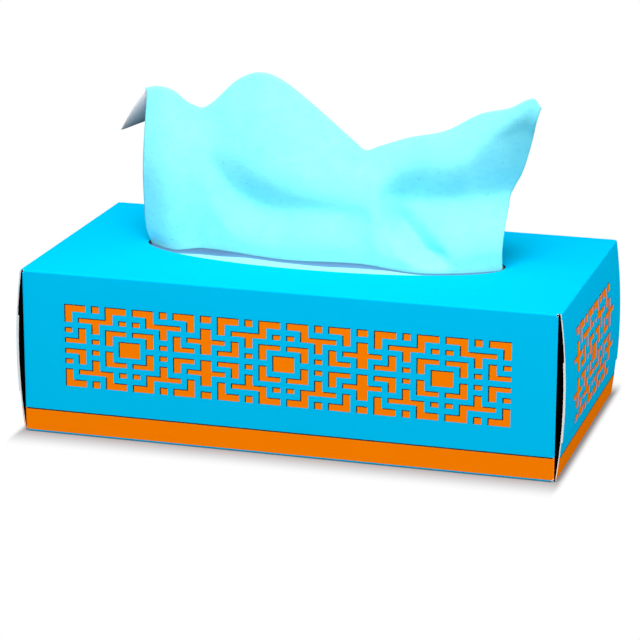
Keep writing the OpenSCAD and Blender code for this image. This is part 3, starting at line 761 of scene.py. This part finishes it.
def make_film_half(side, name, material):
    """Half of the film: flat under the panel, with a lip that rises by a smooth step over its
    last LIP_W, to LIP_LIFT times LIP_HEIGHT at the slit. The lip lies flat where the slot's
    oval edge is near. The rows crowd towards the slit."""
    half_l = SLOT_L / 2 + FILM_MARGIN
    half_w = SLOT_W / 2 + FILM_MARGIN
    slit_half = SLOT_L / 2 + 2
    crowded = 0.6
    along_slit = np.linspace(-FOOT_HALF, FOOT_HALF, COLUMNS)
    x = np.concatenate([[-half_l, -slit_half], along_slit, [slit_half, half_l]])
    s = np.concatenate([np.linspace(0, crowded, 8)[:-1], np.linspace(crowded, 1, 26)])
    xx, ss = np.meshgrid(x, s)
    inside = np.abs(xx) < SLOT_L / 2
    edge = np.where(inside, slit_y(xx) + side * (TISSUE_T / 2 + SLIT_GAP), 0)
    y = mix(side * half_w, edge, ss)
    oval_y = SLOT_W / 2 * np.sqrt(np.clip(1 - (2 * xx / SLOT_L) ** 2, 0, 1))
    reach = ease(LIP_CLEAR, LIP_CLEAR + 2.2 * LIP_W, oval_y - np.abs(slit_y(xx)) - LIP_W)
    turned = ease(LIP_W, 0, np.abs(y - edge)) * inside
    raised = curve(LIP_HEIGHT, np.clip(xx / (SLOT_L / 2), -1, 1))
    z = FILM_TOP + LIP_LIFT * reach * turned * raised
    top = np.stack([xx, y, z], -1)
    foot = top - np.array([0, 0, FILM_T])
    # How far the painted shade on the lip reaches, and how it darkens towards the slit
    wider = 2.4 * ease(-30, -44, xx) + 1.5 * ease(38, 60, xx)
    width = LIP_W * (0.6 + 0.4 * raised) + wider
    lip = (ease(width + 0.3, width, np.abs(y - edge)) * inside).ravel()
    height = (ease(width, 0, np.abs(y - edge)) * inside).ravel()
    return skin(name, top, foot, material, {"lip": np.tile(lip, 2), "height": np.tile(height, 2)})


def white_surround(strength):
    """A white world that lights the scene by strength, and is plain white where it is seen."""
    world = bpy.data.worlds.new("studio")
    bpy.context.scene.world = world
    world.use_nodes = True
    nodes = world.node_tree.nodes
    links = world.node_tree.links
    surround = nodes["Background"]
    surround.inputs["Color"].default_value = (1, 1, 1, 1)
    surround.inputs["Strength"].default_value = strength
    plain = nodes.new("ShaderNodeBackground")
    plain.inputs["Color"].default_value = (1, 1, 1, 1)
    choose = nodes.new("ShaderNodeMixShader")
    rays = nodes.new("ShaderNodeLightPath")
    either = nodes.new("ShaderNodeMath")
    either.operation = "MAXIMUM"
    links.new(rays.outputs["Is Camera Ray"], either.inputs[0])
    links.new(rays.outputs["Is Glossy Ray"], either.inputs[1])
    any_seen = nodes.new("ShaderNodeMath")
    any_seen.operation = "MAXIMUM"
    links.new(either.outputs[0], any_seen.inputs[0])
    links.new(rays.outputs["Is Transmission Ray"], any_seen.inputs[1])
    links.new(any_seen.outputs[0], choose.inputs["Fac"])
    links.new(surround.outputs[0], choose.inputs[1])
    links.new(plain.outputs[0], choose.inputs[2])
    links.new(choose.outputs[0], nodes["World Output"].inputs["Surface"])


def area_light(name, place, aim, size, power):
    """A square soft light at place, turned towards aim, both in metres."""
    lamp = bpy.data.lights.new(name, "AREA")
    lamp.size = size
    lamp.energy = power
    holder = bpy.data.objects.new(name, lamp)
    holder.location = place
    bpy.context.scene.collection.objects.link(holder)
    direction = np.subtract(aim, place)
    turn = math.atan2(direction[1], direction[0])
    tilt = math.acos(-direction[2] / np.linalg.norm(direction))
    holder.rotation_euler = (0, -tilt, turn)


def set_camera():
    """The camera at CAMERA_AT, turned AZIMUTH round, ELEVATION down and ROLL about its axis."""
    camera = bpy.data.objects.new("camera", bpy.data.cameras.new("camera"))
    bpy.context.scene.collection.objects.link(camera)
    bpy.context.scene.camera = camera
    camera.data.sensor_width = SENSOR_W
    camera.data.lens = SENSOR_W * FOCAL_PX / PICTURE_PX
    camera.data.clip_start = 0.05
    camera.location = CAMERA_AT
    camera.rotation_mode = "QUATERNION"
    forward = np.array([
        -math.sin(AZIMUTH) * math.cos(ELEVATION),
        math.cos(AZIMUTH) * math.cos(ELEVATION),
        -math.sin(ELEVATION),
    ])
    level_right = np.array([math.cos(AZIMUTH), math.sin(AZIMUTH), 0])
    level_up = np.cross(level_right, forward)
    right = math.cos(ROLL) * level_right + math.sin(ROLL) * level_up
    up = np.cross(right, forward)
    turned = mathutils.Matrix(np.stack([right, up, -forward], axis=1).tolist())
    camera.rotation_quaternion = turned.to_quaternion()


board = printed_board()
orange = printing_ink("orange_ink", ORANGE, rgb(250, 125, 0), 0.5)
dark = printing_ink("dark_ink", (0.012, 0.022, 0.024, 1.0), (0.02, 0.035, 0.04, 1.0), 0.55)
paper = tissue_paper()
folded = folded_paper()
film = slot_film_plastic()

for name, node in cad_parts.items():
    finish = board if name == "carton" else paper
    if name.endswith("_print"):
        finish = orange
    if name.endswith("_edging"):
        finish = dark
    for slot in node.material_slots:
        slot.material = finish

tissue = make_tissue(paper)
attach(tissue, "root")
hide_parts("pulled_tissue")

stack = make_stack(folded)
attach(stack, "root")
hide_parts("tissue_stack")

for side, name in ((-1, "front_film"), (1, "back_film")):
    half = make_film_half(side, name, film)
    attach(half, "root")
    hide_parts("slot_film")

# The floor, the light and the camera
floor_mesh = bpy.data.meshes.new("floor")
floor_mesh.from_pydata([(-6, -6, 0), (6, -6, 0), (6, 6, 0), (-6, 6, 0)], [], [(0, 1, 2, 3)])
floor = bpy.data.objects.new("floor", floor_mesh)
bpy.context.scene.collection.objects.link(floor)
floor_mesh.materials.append(white_floor())

white_surround(SURROUND_LIGHT)
area_light("key", (0.025, -0.56, 0.9), (0, 0, 0.07), 0.8, 14.0)
area_light("fill", (1.3, -0.05, 0.12), (0, 0, 0.07), 0.8, 10)
set_camera()
bpy.context.scene.view_settings.view_transform = "Standard"
